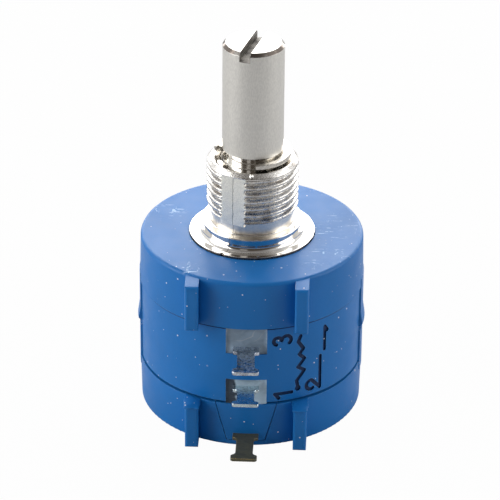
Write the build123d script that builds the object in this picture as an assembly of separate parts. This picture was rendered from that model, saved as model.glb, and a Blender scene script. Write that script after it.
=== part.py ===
from build123d import *
import math
import os

# A ten-turn wirewound potentiometer, standing on its rear cap with the shaft upwards.
# Millimetres. Origin: centre of the rear face. +Z along the shaft, terminals towards -Y.

# Moulded shells: two caps that snap together over a middle housing
BODY_RADIUS = 11.1
BODY_LENGTH = 18.2
CAP_DRAFT = 0.1
CAP_EDGE = 0.35
REAR_EDGE = 0.12
REAR_CAP_HEIGHT = 4.67
FRONT_CAP_HEIGHT = 4.98
REAR_SEAM = 0.25
FRONT_SEAM = 0.1
SKIRT_WALL = 0.9
SPIGOT_WALL = 0.95
REAR_PLATE = 1.4
FRONT_PLATE = 2.2
HOUSING_STEP = 0.1
SHELL_FIT = 0.05
SEAT_GAP = 0.03

# Straight ribs on both caps, side by side and facing the terminals
RIB_OFFSET = 5.3
RIB_WIDTH = 1.3
RIB_STAND = 0.65
RIB_EDGE = 0.25
RIB_END_GAP = 0.15

# Snap arms at the two sides, which lie in recesses of the housing
ARM_WIDTH = 4.1
ARM_STAND = 0.05
ARM_SIDE_GAP = 0.12
FRONT_ARM_DROP = 4.47
ARM_END_GAP = 0.55
HOOK_RISE = 0.2
HOOK_HEIGHT = 1.6
HOOK_CREST = 0.25

# Terminals: flat strips with a waist
TERMINAL_THICKNESS = 0.3
TERMINAL_STAND = 4.6
TERMINAL_END_WIDTH = 2.58
TERMINAL_END_LENGTH = 0.8
TERMINAL_NECK_WIDTH = 1.7
TERMINAL_BASE_WIDTH = 2.55
TERMINAL_SHOULDER_STAND = 0.75
TERMINAL_CORNER = 0.22
BENT_TERMINAL_DEG = 10.0
BEND_DEPTH = 0.1

# Windows in the housing and their potting
WINDOW_WIDTH = 4.0
UPPER_WINDOW_HEIGHT = 2.85
LOWER_WINDOW_HEIGHT = 2.83
UPPER_TERMINAL_RISE = 0.62
LOWER_TERMINAL_DROP = 0.9
POTTING_DEPTH = 0.3

# Terminal block: a panel and a tongue, let into the rear cap
PANEL_TOP_WIDTH = 6.0
PANEL_LOW_WIDTH = 3.7
PANEL_LOW = 0.6
PANEL_GAP = 0.06
TONGUE_SIDE_GAP = 0.3
TONGUE_RISE = 1.1
STRIP_TAIL = 0.5

# Bushing: one casting, turned and threaded
BUSHING_GAP = 0.02
FLANGE_RADIUS = 6.2
FLANGE_STAND = 0.22
FLANGE_THICKNESS = 1.1
BOSS_RADIUS = 5.0
BOSS_HEIGHT = 1.28
NECK_DEPTH = 0.35
NECK_HEIGHT = 1.38
THREAD_RADIUS = 4.5
THREAD_LENGTH = 5.37
THREAD_CHAMFER = 0.4
FLAT_DEPTH = 0.23
FLAT_DIRECTION_DEG = -114.0
FLAT_LEDGE = 0.45
LIP_STAND = 0.6
LIP_HEIGHT = 0.2

# Shaft
SHAFT_RADIUS = 3.0
SHAFT_STAND = 20.45
SHAFT_CHAMFER = 0.32
SLOT_WIDTH = 1.05
SLOT_DEPTH = 0.9
SLOT_DIRECTION_DEG = 75.6
GROOVE_DEPTH = 0.45
GROOVE_WIDTH = 1.03
CORE_STEP = 1.0
PIVOT_STEP = 0.5
PIVOT_GAP = 0.02

# Retaining clip in the shaft's groove
CLIP_STAND = 0.8
CLIP_THICKNESS = 0.5
CLIP_OPENING_DEG = 95.0
CLIP_OPENING_MIDDLE_DEG = -137.0
CLIP_FIT = 0.05

# Rear bearing boss
BEARING_WALL = 1.28
BEARING_HEIGHT = 1.2
BEARING_FLOOR = 0.8
PIVOT_END_GAP = 0.2
PIVOT_SHOULDER_GAP = 0.12

# Resistance element: a helix of ten turns against the bore of the housing
TURNS = 10
ELEMENT_RADIUS = 0.35
ELEMENT_GAP = 0.02
TAP_WIDTH = 0.8
TAP_THICKNESS = 0.3

# Rotor, its slip ring and collector bar
CARRIAGE_WALL = 1.54
GUIDE_STAND = 0.7
GUIDE_WIDTH = 1.6
ROTOR_END_PLAY = 0.3
ROTOR_LIFT = 1.6
SLIP_RING_CLEARANCE = 0.6
SLIP_RING_THICKNESS = 0.3
BAR_WIDTH = 1.2
BAR_THICKNESS = 0.3
BAR_DEPTH = 0.05
BAR_DIRECTION_DEG = 180.0
WASHER_INSET = 0.8
WASHER_THICKNESS = 0.2

# Carriage and its two contacts
CARRIAGE_CLEARANCE = 0.58
CARRIAGE_HEIGHT = 1.8
CARRIAGE_END_GAP = 0.1
CARRIAGE_FIT = 0.06
WIPER_GAP = 0.04
WIPER_HEIGHT = 0.5
WIPER_SPAN_DEG = 12.0
RIDGE_BITE = 0.12
RIDGE_CLEARANCE = 0.15
RIDGE_SPAN_DEG = 24.0
CONTACT_WIDTH = 1.0
CONTACT_DEPTH = 0.7
CONTACT_HEIGHT = 1.0
CONTACT_GAP = 0.03

# Slip ring brush
BRUSH_WIDTH = 1.4
BRUSH_THICKNESS = 0.15
BRUSH_INSET = 0.6
BRUSH_RUN = 1.5

# Marks engraved in the housing beside the windows: plain numerals and a resistor symbol
MARK_DEPTH = 0.15
MARK_WIDTH = 0.38
UPPER_MARK_DROP = 1.22
NUMERAL_DROP = 0.15
LOWER_MARK_RISE = 0.83
SYMBOL_RISE = 1.13

# Places that follow from the sizes above: the shells
SKIRT_BORE = BODY_RADIUS - SKIRT_WALL
SPIGOT_RADIUS = SKIRT_BORE - SHELL_FIT
HOUSING_RADIUS = BODY_RADIUS - HOUSING_STEP
HOUSING_BORE = SPIGOT_RADIUS - SPIGOT_WALL
FRONT_CAP_LOW = BODY_LENGTH - FRONT_CAP_HEIGHT
HOUSING_LOW = REAR_CAP_HEIGHT + REAR_SEAM
HOUSING_HIGH = FRONT_CAP_LOW - FRONT_SEAM
FRONT_PLATE_LOW = BODY_LENGTH - FRONT_PLATE
SPIGOT_LOW = REAR_PLATE + SEAT_GAP
SPIGOT_HIGH = FRONT_PLATE_LOW - FRONT_SEAM
RIB_FACE = BODY_RADIUS + RIB_STAND
ARM_OUTER = BODY_RADIUS + ARM_STAND
FRONT_ARM_END = FRONT_CAP_LOW - FRONT_ARM_DROP
REAR_ARM_END = FRONT_ARM_END - ARM_END_GAP

# The windows, terminals and terminal block
UPPER_WINDOW_LOW = FRONT_CAP_LOW - UPPER_WINDOW_HEIGHT
LOWER_WINDOW_HIGH = REAR_CAP_HEIGHT + LOWER_WINDOW_HEIGHT
TERMINAL_1_HEIGHT = LOWER_WINDOW_HIGH - LOWER_TERMINAL_DROP
TERMINAL_2_HEIGHT = REAR_PLATE - TERMINAL_THICKNESS / 2
TERMINAL_3_HEIGHT = UPPER_WINDOW_LOW + UPPER_TERMINAL_RISE
TERMINAL_REACH = BODY_RADIUS + TERMINAL_STAND
TERMINAL_SHOULDER = BODY_RADIUS + TERMINAL_SHOULDER_STAND
BEND_PLACE = BODY_RADIUS - BEND_DEPTH
POTTING_FACE = BODY_RADIUS - POTTING_DEPTH
TONGUE_WIDTH = WINDOW_WIDTH - 2 * TONGUE_SIDE_GAP
TONGUE_TOP = REAR_PLATE + TONGUE_RISE
POTTING_FLOOR = TONGUE_TOP + SHELL_FIT
UPPER_MARK = HOUSING_HIGH - UPPER_MARK_DROP
LOWER_MARK = HOUSING_LOW + LOWER_MARK_RISE
SYMBOL_LOW = HOUSING_LOW + SYMBOL_RISE
SYMBOL_HEIGHT = UPPER_MARK - SYMBOL_LOW

# The bushing and shaft
BUSHING_BORE = SHAFT_RADIUS + BUSHING_GAP
FLANGE_TOP = BODY_LENGTH + FLANGE_STAND
FLANGE_LOW = FLANGE_TOP - FLANGE_THICKNESS
BOSS_TOP = FLANGE_TOP + BOSS_HEIGHT
NECK_RADIUS = THREAD_RADIUS - NECK_DEPTH
NECK_TOP = BOSS_TOP + NECK_HEIGHT
FLAT_DISTANCE = THREAD_RADIUS - FLAT_DEPTH
LIP_RADIUS = BOSS_RADIUS + LIP_STAND
BUSHING_TOP = NECK_TOP + THREAD_LENGTH
BUSHING_LOW = FRONT_PLATE_LOW - LIP_HEIGHT
SHAFT_TOP = BODY_LENGTH + SHAFT_STAND
GROOVE_RADIUS = SHAFT_RADIUS - GROOVE_DEPTH
GROOVE_LOW = BUSHING_TOP
GROOVE_HIGH = GROOVE_LOW + GROOVE_WIDTH
CLIP_OUTER = SHAFT_RADIUS + CLIP_STAND
CORE_RADIUS = SHAFT_RADIUS - CORE_STEP
PIVOT_RADIUS = CORE_RADIUS - PIVOT_STEP
PIVOT_END = BEARING_FLOOR + PIVOT_END_GAP
BEARING_BORE = PIVOT_RADIUS + PIVOT_GAP
BEARING_RADIUS = BEARING_BORE + BEARING_WALL
BEARING_TOP = REAR_PLATE + BEARING_HEIGHT
PIVOT_SHOULDER = BEARING_TOP + PIVOT_SHOULDER_GAP

# The element, rotor and carriage
DRUM_LOW = REAR_PLATE + ROTOR_LIFT
DRUM_HIGH = BUSHING_LOW - ROTOR_END_PLAY
CARRIAGE_TRAVEL = DRUM_HIGH - DRUM_LOW - CARRIAGE_HEIGHT - 2 * CARRIAGE_END_GAP
PITCH = CARRIAGE_TRAVEL / TURNS
ELEMENT_LOW = DRUM_LOW + CARRIAGE_END_GAP + CARRIAGE_HEIGHT / 2
ELEMENT_HIGH = ELEMENT_LOW + CARRIAGE_TRAVEL
ELEMENT_PATH = HOUSING_BORE - ELEMENT_GAP - ELEMENT_RADIUS
ELEMENT_INNER = ELEMENT_PATH - ELEMENT_RADIUS
TAP_INNER = HOUSING_BORE + SHELL_FIT
TAP_OUTER = TAP_INNER + TAP_THICKNESS
CARRIAGE_OUTER = ELEMENT_INNER - CARRIAGE_CLEARANCE
RIDGE_REACH = ELEMENT_INNER + RIDGE_BITE
CORD_HALF = math.sqrt(ELEMENT_RADIUS**2 - (ELEMENT_RADIUS - RIDGE_BITE) ** 2)
RIDGE_WIDTH = PITCH - 2 * CORD_HALF - 2 * RIDGE_CLEARANCE
DRUM_RADIUS = CARRIAGE_OUTER - CARRIAGE_WALL - CARRIAGE_FIT
GUIDE_RADIUS = DRUM_RADIUS + GUIDE_STAND
SLIP_RING_LOW = DRUM_LOW - SLIP_RING_THICKNESS
SLIP_RING_INNER = BEARING_RADIUS + SLIP_RING_CLEARANCE
BAR_OUTER = DRUM_RADIUS - BAR_DEPTH
BRUSH_TIP = SLIP_RING_INNER + BRUSH_INSET
TONGUE_INNER = BRUSH_TIP + BRUSH_RUN
WASHER_RADIUS = LIP_RADIUS - WASHER_INSET
FRONT_DEG = -90.0
FAR = 3 * BODY_RADIUS
ON_BASE = (Align.CENTER, Align.CENTER, Align.MIN)


def disc(radius, low, high):
    """A round bar about the axis."""
    return Pos(0, 0, low) * Cylinder(radius, high - low, align=ON_BASE)


def ring(inner, outer, low, high):
    """A tube about the axis."""
    return disc(outer, low, high) - disc(inner, low, high)


def block(x_span, y_span, z_span):
    """A box between three pairs of limits."""
    size = [high - low for low, high in (x_span, y_span, z_span)]
    middle = [(high + low) / 2 for low, high in (x_span, y_span, z_span)]
    return Pos(*middle) * Box(*size)


def turned(*points):
    """A solid of revolution from (radius, height) points of its section."""
    outline = Polyline(*[(radius, 0, height) for radius, height in points], close=True)
    return revolve(make_face(outline), Axis.Z)


def sector(inner, outer, low, high, middle_deg, span_deg):
    """The part of a tube within a span of angle about a direction."""
    half = math.radians(span_deg / 2)
    far = (FAR, FAR * math.tan(half))
    wedge = Polyline((0, 0, low), (far[0], -far[1], low), (far[0], far[1], low), close=True)
    keep = extrude(make_face(wedge), high - low, dir=(0, 0, 1))
    return ring(inner, outer, low, high) & (Rot(0, 0, middle_deg) * keep)


def cap_ribs(low, high):
    """The pair of straight ribs on one cap, from the skirt's bore to their front faces."""
    ribs = Part()
    for side in (-1, 1):
        x_span = sorted((side * RIB_OFFSET - RIB_WIDTH / 2, side * RIB_OFFSET + RIB_WIDTH / 2))
        inner = math.sqrt(SKIRT_BORE**2 - min(abs(x) for x in x_span) ** 2)
        rib = block(x_span, (-RIB_FACE, -inner), (low, high))
        front = rib.faces().sort_by(Axis.Y)[0]
        ribs += fillet(front.edges(), RIB_EDGE)
    return ribs - disc(SKIRT_BORE, low, high)


def snap_arms(low, high):
    """Two opposite arms that carry a cap's skirt on over the housing."""
    tube = ring(SKIRT_BORE, ARM_OUTER, low, high)
    return tube & block((-FAR, FAR), (-ARM_WIDTH / 2, ARM_WIDTH / 2), (low, high))


def arm_hooks():
    """The catch near the end of each front arm: a slope out to a crest, then a short return."""
    low = FRONT_ARM_END
    crest = low + HOOK_CREST
    outer = ARM_OUTER + HOOK_RISE
    section = (SKIRT_BORE, low), (ARM_OUTER, low), (outer, crest)
    rise = turned(*section, (ARM_OUTER, low + HOOK_HEIGHT), (SKIRT_BORE, low + HOOK_HEIGHT))
    return rise & block((-FAR, FAR), (-ARM_WIDTH / 2, ARM_WIDTH / 2), (low, low + HOOK_HEIGHT))


def panel_outline(gap):
    """The tongue's front, a trapezium narrower at the bottom, grown by a gap all round."""
    top = REAR_CAP_HEIGHT + gap
    low = PANEL_LOW - gap
    wide = PANEL_TOP_WIDTH / 2 + gap
    narrow = PANEL_LOW_WIDTH / 2 + gap
    corners = (-narrow, 0, low), (narrow, 0, low), (wide, 0, top), (-wide, 0, top)
    return extrude(make_face(Polyline(*corners, close=True)), FAR, dir=(0, -1, 0))


def tongue(gap):
    """The inner stretch of the terminal block, which lies on the rear plate."""
    half = TONGUE_WIDTH / 2 + gap
    return block((-half, half), (-SKIRT_BORE - gap, -TONGUE_INNER + gap), (PANEL_LOW - gap, TONGUE_TOP))


def make_front_cap():
    """Front cap: a drafted cup with the bushing's seat, two ribs and two snap arms."""
    top_radius = BODY_RADIUS - CAP_DRAFT
    cup = turned((0, FRONT_CAP_LOW), (BODY_RADIUS, FRONT_CAP_LOW), (top_radius, BODY_LENGTH), (0, BODY_LENGTH))
    rim = cup.edges().group_by(Axis.Z)[-1]
    cup = fillet(rim, CAP_EDGE)
    cup -= disc(SKIRT_BORE, FRONT_CAP_LOW, FRONT_PLATE_LOW)
    cup -= disc(FLANGE_RADIUS + SHELL_FIT, FLANGE_LOW, BODY_LENGTH)
    cup -= disc(BOSS_RADIUS + SHELL_FIT, FRONT_PLATE_LOW, FLANGE_LOW)
    cup += cap_ribs(FRONT_CAP_LOW, BODY_LENGTH - RIB_END_GAP)
    cup += snap_arms(FRONT_ARM_END, FRONT_CAP_LOW + SKIRT_WALL)
    return cup + arm_hooks()


def make_rear_cap():
    """Rear cap: a drafted cup with the rear bearing and the seat of the terminal block."""
    low_radius = BODY_RADIUS - CAP_DRAFT
    cup = turned((0, 0), (low_radius, 0), (BODY_RADIUS, REAR_CAP_HEIGHT), (0, REAR_CAP_HEIGHT))
    rim = cup.edges().group_by(Axis.Z)[0]
    cup = fillet(rim, REAR_EDGE)
    cup -= disc(SKIRT_BORE, REAR_PLATE, REAR_CAP_HEIGHT)
    cup += cap_ribs(0, REAR_CAP_HEIGHT)
    cup += snap_arms(REAR_CAP_HEIGHT - SKIRT_WALL, REAR_ARM_END)
    cup += disc(BEARING_RADIUS, REAR_PLATE, BEARING_TOP)
    cup -= disc(BEARING_BORE, BEARING_FLOOR, BEARING_TOP)
    cup -= panel_outline(PANEL_GAP) & ring(SKIRT_BORE - PANEL_GAP, FAR, PANEL_LOW - PANEL_GAP, BODY_LENGTH)
    half = TERMINAL_BASE_WIDTH / 2 + PANEL_GAP
    tail_end = TONGUE_INNER - STRIP_TAIL - PANEL_GAP
    cup -= block((-half, half), (-TONGUE_INNER, -tail_end), (PANEL_LOW, REAR_PLATE))
    return cup - tongue(PANEL_GAP)


def window(low, high, inner, outer):
    """The space of one window in the front of the housing's wall."""
    half = WINDOW_WIDTH / 2
    return ring(inner, outer, low, high) & block((-half, half), (-FAR, 0), (low, high))


def mark(azimuth_deg, edges):
    """Engraved strokes drawn in the plane that touches the housing at an azimuth."""
    sketch = Sketch()
    for edge in edges:
        sketch += trace(edge, line_width=MARK_WIDTH)
        for end in (edge @ 0, edge @ 1):
            sketch += Pos(end.X, end.Y) * Circle(MARK_WIDTH / 2)
    angle = math.radians(FRONT_DEG + azimuth_deg)
    outward = Vector(math.cos(angle), math.sin(angle), 0)
    along = Vector(-math.sin(angle), math.cos(angle), 0)
    face = Plane(origin=outward * HOUSING_RADIUS / 2, x_dir=along, z_dir=outward)
    cutter = extrude(face * sketch, HOUSING_RADIUS)
    return cutter & ring(HOUSING_RADIUS - MARK_DEPTH, FAR, HOUSING_LOW, HOUSING_HIGH)


def polyline_edges(*points):
    """The straight runs between points."""
    return [Line(start, end) for start, end in zip(points, points[1:])]


def engraved_marks():
    """The numerals of the three terminals, the resistor symbol and the wiper's arrow."""
    three = [CenterArc((0.42, UPPER_MARK - NUMERAL_DROP), 0.46, -50, 230)]
    three += [CenterArc((-0.46, UPPER_MARK - NUMERAL_DROP - 0.05), 0.4, 5, 245)]
    one = polyline_edges((0.87, LOWER_MARK), (-0.85, LOWER_MARK), (-0.45, LOWER_MARK - 0.5))
    two = [CenterArc((-0.35, SYMBOL_LOW), 0.5, 80, 220)]
    two += polyline_edges((-0.26, SYMBOL_LOW + 0.49), (0.75, SYMBOL_LOW - 0.6), (0.75, SYMBOL_LOW + 0.65))
    steps = [(0.06, 1), (-0.19, 0.897), (0.38, 0.747), (-0.06, 0.65), (0.52, 0.55)]
    steps += [(-0.19, 0.409), (0.52, 0.323), (-0.3, 0.149), (-0.16, 0)]
    teeth = [(across, SYMBOL_LOW + SYMBOL_HEIGHT * share) for across, share in steps]
    dot = [CenterArc((-0.16, SYMBOL_LOW), 0.12, 0, 359)]
    wiper = polyline_edges((0, SYMBOL_LOW + 0.8), (0, SYMBOL_LOW + SYMBOL_HEIGHT / 2))
    arrow = polyline_edges((0, UPPER_MARK - 2.35), (0, UPPER_MARK + 0.2), (0.32, UPPER_MARK - 0.3))
    rows = (18.4, three), (19.2, one), (36.5, two), (28.0, polyline_edges(*teeth)), (28.0, dot)
    marks = [mark(azimuth, edges) for azimuth, edges in rows]
    return marks + [mark(40.4, wiper), mark(43.1, arrow)]


def make_housing():
    """Middle housing: a tube with a spigot at each end, two windows and two arm recesses."""
    shell = ring(HOUSING_BORE, HOUSING_RADIUS, HOUSING_LOW, HOUSING_HIGH)
    shell += ring(HOUSING_BORE, SPIGOT_RADIUS, SPIGOT_LOW, SPIGOT_HIGH)
    shell -= window(UPPER_WINDOW_LOW, SPIGOT_HIGH, HOUSING_BORE, FAR)
    shell -= window(SPIGOT_LOW, LOWER_WINDOW_HIGH, HOUSING_BORE, FAR)
    half = ARM_WIDTH / 2 + ARM_SIDE_GAP
    recess = ring(SPIGOT_RADIUS, FAR, HOUSING_LOW, HOUSING_HIGH)
    shell -= recess & block((-FAR, FAR), (-half, half), (HOUSING_LOW, HOUSING_HIGH))
    for engraving in engraved_marks():
        shell -= engraving
    return shell


def terminal_strip(height, bend_deg, inner):
    """A flat terminal with a waist, its outer stretch bent up about a line across it."""
    z_span = (height - TERMINAL_THICKNESS / 2, height + TERMINAL_THICKNESS / 2)
    end = TERMINAL_END_WIDTH / 2
    neck = TERMINAL_NECK_WIDTH / 2
    base = TERMINAL_BASE_WIDTH / 2
    bar_inner = TERMINAL_REACH - TERMINAL_END_LENGTH
    bar = block((-end, end), (-TERMINAL_REACH, -bar_inner), z_span)
    bar = fillet(bar.edges().filter_by(Axis.Z), TERMINAL_CORNER)
    outer = bar + block((-neck, neck), (-bar_inner - TERMINAL_CORNER, -TERMINAL_SHOULDER), z_span)
    outer += block((-base, base), (-TERMINAL_SHOULDER, -BEND_PLACE), z_span)
    root = block((-base, base), (-BEND_PLACE, -inner), z_span)
    if bend_deg:
        knuckle = Pos(0, -BEND_PLACE, height) * Rot(0, 90, 0) * Cylinder(TERMINAL_THICKNESS / 2, 2 * base)
        outer = Pos(0, -BEND_PLACE, height) * Rot(-bend_deg, 0, 0) * Pos(0, BEND_PLACE, -height) * outer
        outer += knuckle
    return outer + root


def make_tap(low, high):
    """A lead from one end of the element up or down to its terminal, in the housing's wall."""
    half = TAP_WIDTH / 2
    return block((-half, half), (-TAP_OUTER, -TAP_INNER), (low, high))


def make_upper_potting(held):
    """Potting of the upper window, moulded round the strip and lead that it holds."""
    potting = window(UPPER_WINDOW_LOW, FRONT_CAP_LOW - SEAT_GAP, HOUSING_BORE, POTTING_FACE)
    potting += window(UPPER_WINDOW_LOW, SPIGOT_HIGH, HOUSING_BORE, SPIGOT_RADIUS)
    return potting - held


def make_lower_potting(held):
    """Potting of the lower window, moulded round the strip and lead that it holds."""
    potting = window(REAR_CAP_HEIGHT + SEAT_GAP, LOWER_WINDOW_HIGH, HOUSING_BORE, POTTING_FACE)
    potting += window(POTTING_FLOOR, LOWER_WINDOW_HIGH, HOUSING_BORE, SPIGOT_RADIUS)
    return potting - held


def make_terminal_block(strip):
    """Insulating block of the wiper's terminal: a panel flush with the rear cap and a tongue."""
    panel = panel_outline(0) & ring(SKIRT_BORE, BODY_RADIUS - CAP_DRAFT / 2, PANEL_LOW, REAR_CAP_HEIGHT)
    return panel + tongue(0) - strip


def make_bushing():
    """Bushing: flange, boss, neck and threaded barrel with two flats on the mould's parting line."""
    section = [(BUSHING_BORE, BUSHING_LOW), (LIP_RADIUS, BUSHING_LOW), (LIP_RADIUS, FRONT_PLATE_LOW)]
    section += [(BOSS_RADIUS, FRONT_PLATE_LOW), (BOSS_RADIUS, FLANGE_LOW), (FLANGE_RADIUS, FLANGE_LOW)]
    section += [(FLANGE_RADIUS, FLANGE_TOP), (BOSS_RADIUS, FLANGE_TOP), (BOSS_RADIUS, BOSS_TOP)]
    section += [(NECK_RADIUS, BOSS_TOP), (NECK_RADIUS, NECK_TOP), (THREAD_RADIUS, NECK_TOP)]
    section += [(THREAD_RADIUS, BUSHING_TOP - THREAD_CHAMFER), (THREAD_RADIUS - THREAD_CHAMFER, BUSHING_TOP)]
    section += [(BUSHING_BORE, BUSHING_TOP)]
    body = turned(*section)
    z_span = (NECK_TOP, BUSHING_TOP - FLAT_LEDGE)
    for x_span in ((FLAT_DISTANCE, FAR), (-FAR, -FLAT_DISTANCE)):
        body -= Rot(0, 0, FLAT_DIRECTION_DEG) * block(x_span, (-FAR, FAR), z_span)
    return body


def make_shaft():
    """Shaft: rear pivot, core for the rotor, clip groove and a slotted end."""
    section = [(0, PIVOT_END), (PIVOT_RADIUS, PIVOT_END), (PIVOT_RADIUS, PIVOT_SHOULDER)]
    section += [(CORE_RADIUS, PIVOT_SHOULDER), (CORE_RADIUS, DRUM_HIGH), (SHAFT_RADIUS, DRUM_HIGH)]
    section += [(SHAFT_RADIUS, GROOVE_LOW), (GROOVE_RADIUS, GROOVE_LOW), (GROOVE_RADIUS, GROOVE_HIGH)]
    section += [(SHAFT_RADIUS, GROOVE_HIGH), (SHAFT_RADIUS, SHAFT_TOP - SHAFT_CHAMFER)]
    section += [(SHAFT_RADIUS - SHAFT_CHAMFER, SHAFT_TOP), (0, SHAFT_TOP)]
    half = SLOT_WIDTH / 2
    slot = block((-FAR, FAR), (-half, half), (SHAFT_TOP - SLOT_DEPTH, SHAFT_TOP + SLOT_DEPTH))
    return turned(*section) - Rot(0, 0, SLOT_DIRECTION_DEG) * slot


def make_retaining_clip():
    """Open clip that sits in the groove just above the bushing."""
    low = (GROOVE_LOW + GROOVE_HIGH - CLIP_THICKNESS) / 2
    high = low + CLIP_THICKNESS
    inner = GROOVE_RADIUS + CLIP_FIT
    opening = sector(0, FAR, low, high, CLIP_OPENING_MIDDLE_DEG, CLIP_OPENING_DEG)
    return ring(inner, CLIP_OUTER, low, high) - opening


def make_thrust_washer():
    """Washer between the rotor and the inner end of the bushing."""
    low = (DRUM_HIGH + BUSHING_LOW - WASHER_THICKNESS) / 2
    return ring(SHAFT_RADIUS + SHELL_FIT, WASHER_RADIUS, low, low + WASHER_THICKNESS)


def make_resistance_element():
    """The wound element: a round cord of ten left-hand turns, so that clockwise turns raise the wiper."""
    path = Helix(PITCH, CARRIAGE_TRAVEL, ELEMENT_PATH, lefthand=True)
    section = Plane(origin=path @ 0, z_dir=path % 0) * Circle(ELEMENT_RADIUS)
    return Pos(0, 0, ELEMENT_LOW) * Rot(0, 0, FRONT_DEG) * sweep(section, path, is_frenet=True)


def make_rotor():
    """Moulded rotor: a drum on the shaft's core with two guide ribs and the collector's groove."""
    drum = ring(CORE_RADIUS, DRUM_RADIUS, DRUM_LOW, DRUM_HIGH)
    half = GUIDE_WIDTH / 2
    ribs = ring(DRUM_RADIUS, GUIDE_RADIUS, DRUM_LOW, DRUM_HIGH)
    drum += ribs & block((-half, half), (-FAR, FAR), (DRUM_LOW, DRUM_HIGH))
    groove = block((BAR_OUTER - BAR_THICKNESS, FAR), (-BAR_WIDTH / 2, BAR_WIDTH / 2), (DRUM_LOW, DRUM_HIGH))
    return drum - Rot(0, 0, BAR_DIRECTION_DEG) * groove


def make_slip_ring():
    """Metal ring on the rear face of the rotor."""
    return ring(SLIP_RING_INNER, BAR_OUTER, SLIP_RING_LOW, DRUM_LOW)


def make_collector_bar():
    """Metal strip along the rotor, standing on the slip ring."""
    half = BAR_WIDTH / 2
    strip = block((BAR_OUTER - BAR_THICKNESS, BAR_OUTER), (-half, half), (DRUM_LOW, DRUM_HIGH))
    bar = strip & disc(BAR_OUTER, DRUM_LOW, DRUM_HIGH)
    return Rot(0, 0, BAR_DIRECTION_DEG) * bar


def collector_pocket(gap):
    """The space in the carriage for its inner contact, grown sideways by a gap."""
    half = CONTACT_WIDTH / 2 + gap
    inner = BAR_OUTER + CONTACT_GAP
    low = ELEMENT_LOW - CONTACT_HEIGHT / 2 - gap
    high = ELEMENT_LOW + CONTACT_HEIGHT / 2 + gap
    pocket = block((inner, inner + CONTACT_DEPTH + gap), (-half, half), (low, high))
    return Rot(0, 0, BAR_DIRECTION_DEG) * pocket


def make_carriage():
    """Carriage: a ring that slides on the rotor, with ridges that run between the turns."""
    low = ELEMENT_LOW - CARRIAGE_HEIGHT / 2
    high = ELEMENT_LOW + CARRIAGE_HEIGHT / 2
    body = ring(DRUM_RADIUS + CARRIAGE_FIT, CARRIAGE_OUTER, low, high)
    half = GUIDE_WIDTH / 2 + CARRIAGE_FIT
    notches = ring(DRUM_RADIUS, GUIDE_RADIUS + CARRIAGE_FIT, low, high)
    body -= notches & block((-half, half), (-FAR, FAR), (low, high))
    for side in (-1, 1):
        middle = ELEMENT_LOW + side * PITCH / 2
        span = (middle - RIDGE_WIDTH / 2, middle + RIDGE_WIDTH / 2)
        body += sector(CARRIAGE_OUTER - SHELL_FIT, RIDGE_REACH, *span, FRONT_DEG, RIDGE_SPAN_DEG)
    return body - collector_pocket(SHELL_FIT / 2)


def make_wiper():
    """Contact pad on the carriage that faces the turns of the element."""
    low = ELEMENT_LOW - WIPER_HEIGHT / 2
    return sector(CARRIAGE_OUTER, ELEMENT_INNER - WIPER_GAP, low, low + WIPER_HEIGHT, FRONT_DEG, WIPER_SPAN_DEG)


def make_slip_ring_brush():
    """Spring strip from the inner end of the wiper's terminal up to the slip ring."""
    foot = REAR_PLATE
    tip = SLIP_RING_LOW - CONTACT_GAP
    rise = tip - foot - BRUSH_THICKNESS
    points = [(-TONGUE_INNER, foot), (-TONGUE_INNER + STRIP_TAIL, foot), (-BRUSH_TIP, foot + rise)]
    points += [(y, z + BRUSH_THICKNESS) for y, z in reversed(points)]
    outline = Polyline(*[(-BRUSH_WIDTH / 2, y, z) for y, z in points], close=True)
    return extrude(make_face(outline), BRUSH_WIDTH, dir=(1, 0, 0))


def make_parts():
    """Every piece of the potentiometer by the name of its node."""
    low_tap = make_tap(ELEMENT_LOW - ELEMENT_RADIUS, TERMINAL_1_HEIGHT)
    high_tap = make_tap(TERMINAL_3_HEIGHT, ELEMENT_HIGH + ELEMENT_RADIUS)
    strip_1 = terminal_strip(TERMINAL_1_HEIGHT, BENT_TERMINAL_DEG, TAP_OUTER)
    strip_2 = terminal_strip(TERMINAL_2_HEIGHT, 0, TONGUE_INNER - STRIP_TAIL)
    strip_3 = terminal_strip(TERMINAL_3_HEIGHT, 0, TAP_OUTER)
    return {
        "front_cap": make_front_cap(),
        "housing": make_housing(),
        "rear_cap": make_rear_cap(),
        "terminal_block": make_terminal_block(strip_2),
        "bushing": make_bushing(),
        "terminal_1": strip_1,
        "terminal_2": strip_2,
        "terminal_3": strip_3,
        "upper_potting": make_upper_potting(strip_3 + high_tap),
        "lower_potting": make_lower_potting(strip_1 + low_tap),
        "resistance_element": make_resistance_element(),
        "lower_tap": low_tap,
        "upper_tap": high_tap,
        "slip_ring_brush": make_slip_ring_brush(),
        "thrust_washer": make_thrust_washer(),
        "shaft": make_shaft(),
        "retaining_clip": make_retaining_clip(),
        "rotor": make_rotor(),
        "slip_ring": make_slip_ring(),
        "collector_bar": make_collector_bar(),
        "carriage": make_carriage(),
        "wiper": make_wiper(),
        "collector_contact": collector_pocket(0),
    }


os.makedirs("parts", exist_ok=True)
for name, shape in make_parts().items():
    export_step(shape, f"parts/{name}.step")
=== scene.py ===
"""Looks of a ten-turn wirewound potentiometer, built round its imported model."""

import logging
import math
from dataclasses import dataclass
from enum import Enum

import bpy
import numpy as np
from mathutils import Matrix, Vector, noise


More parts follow.
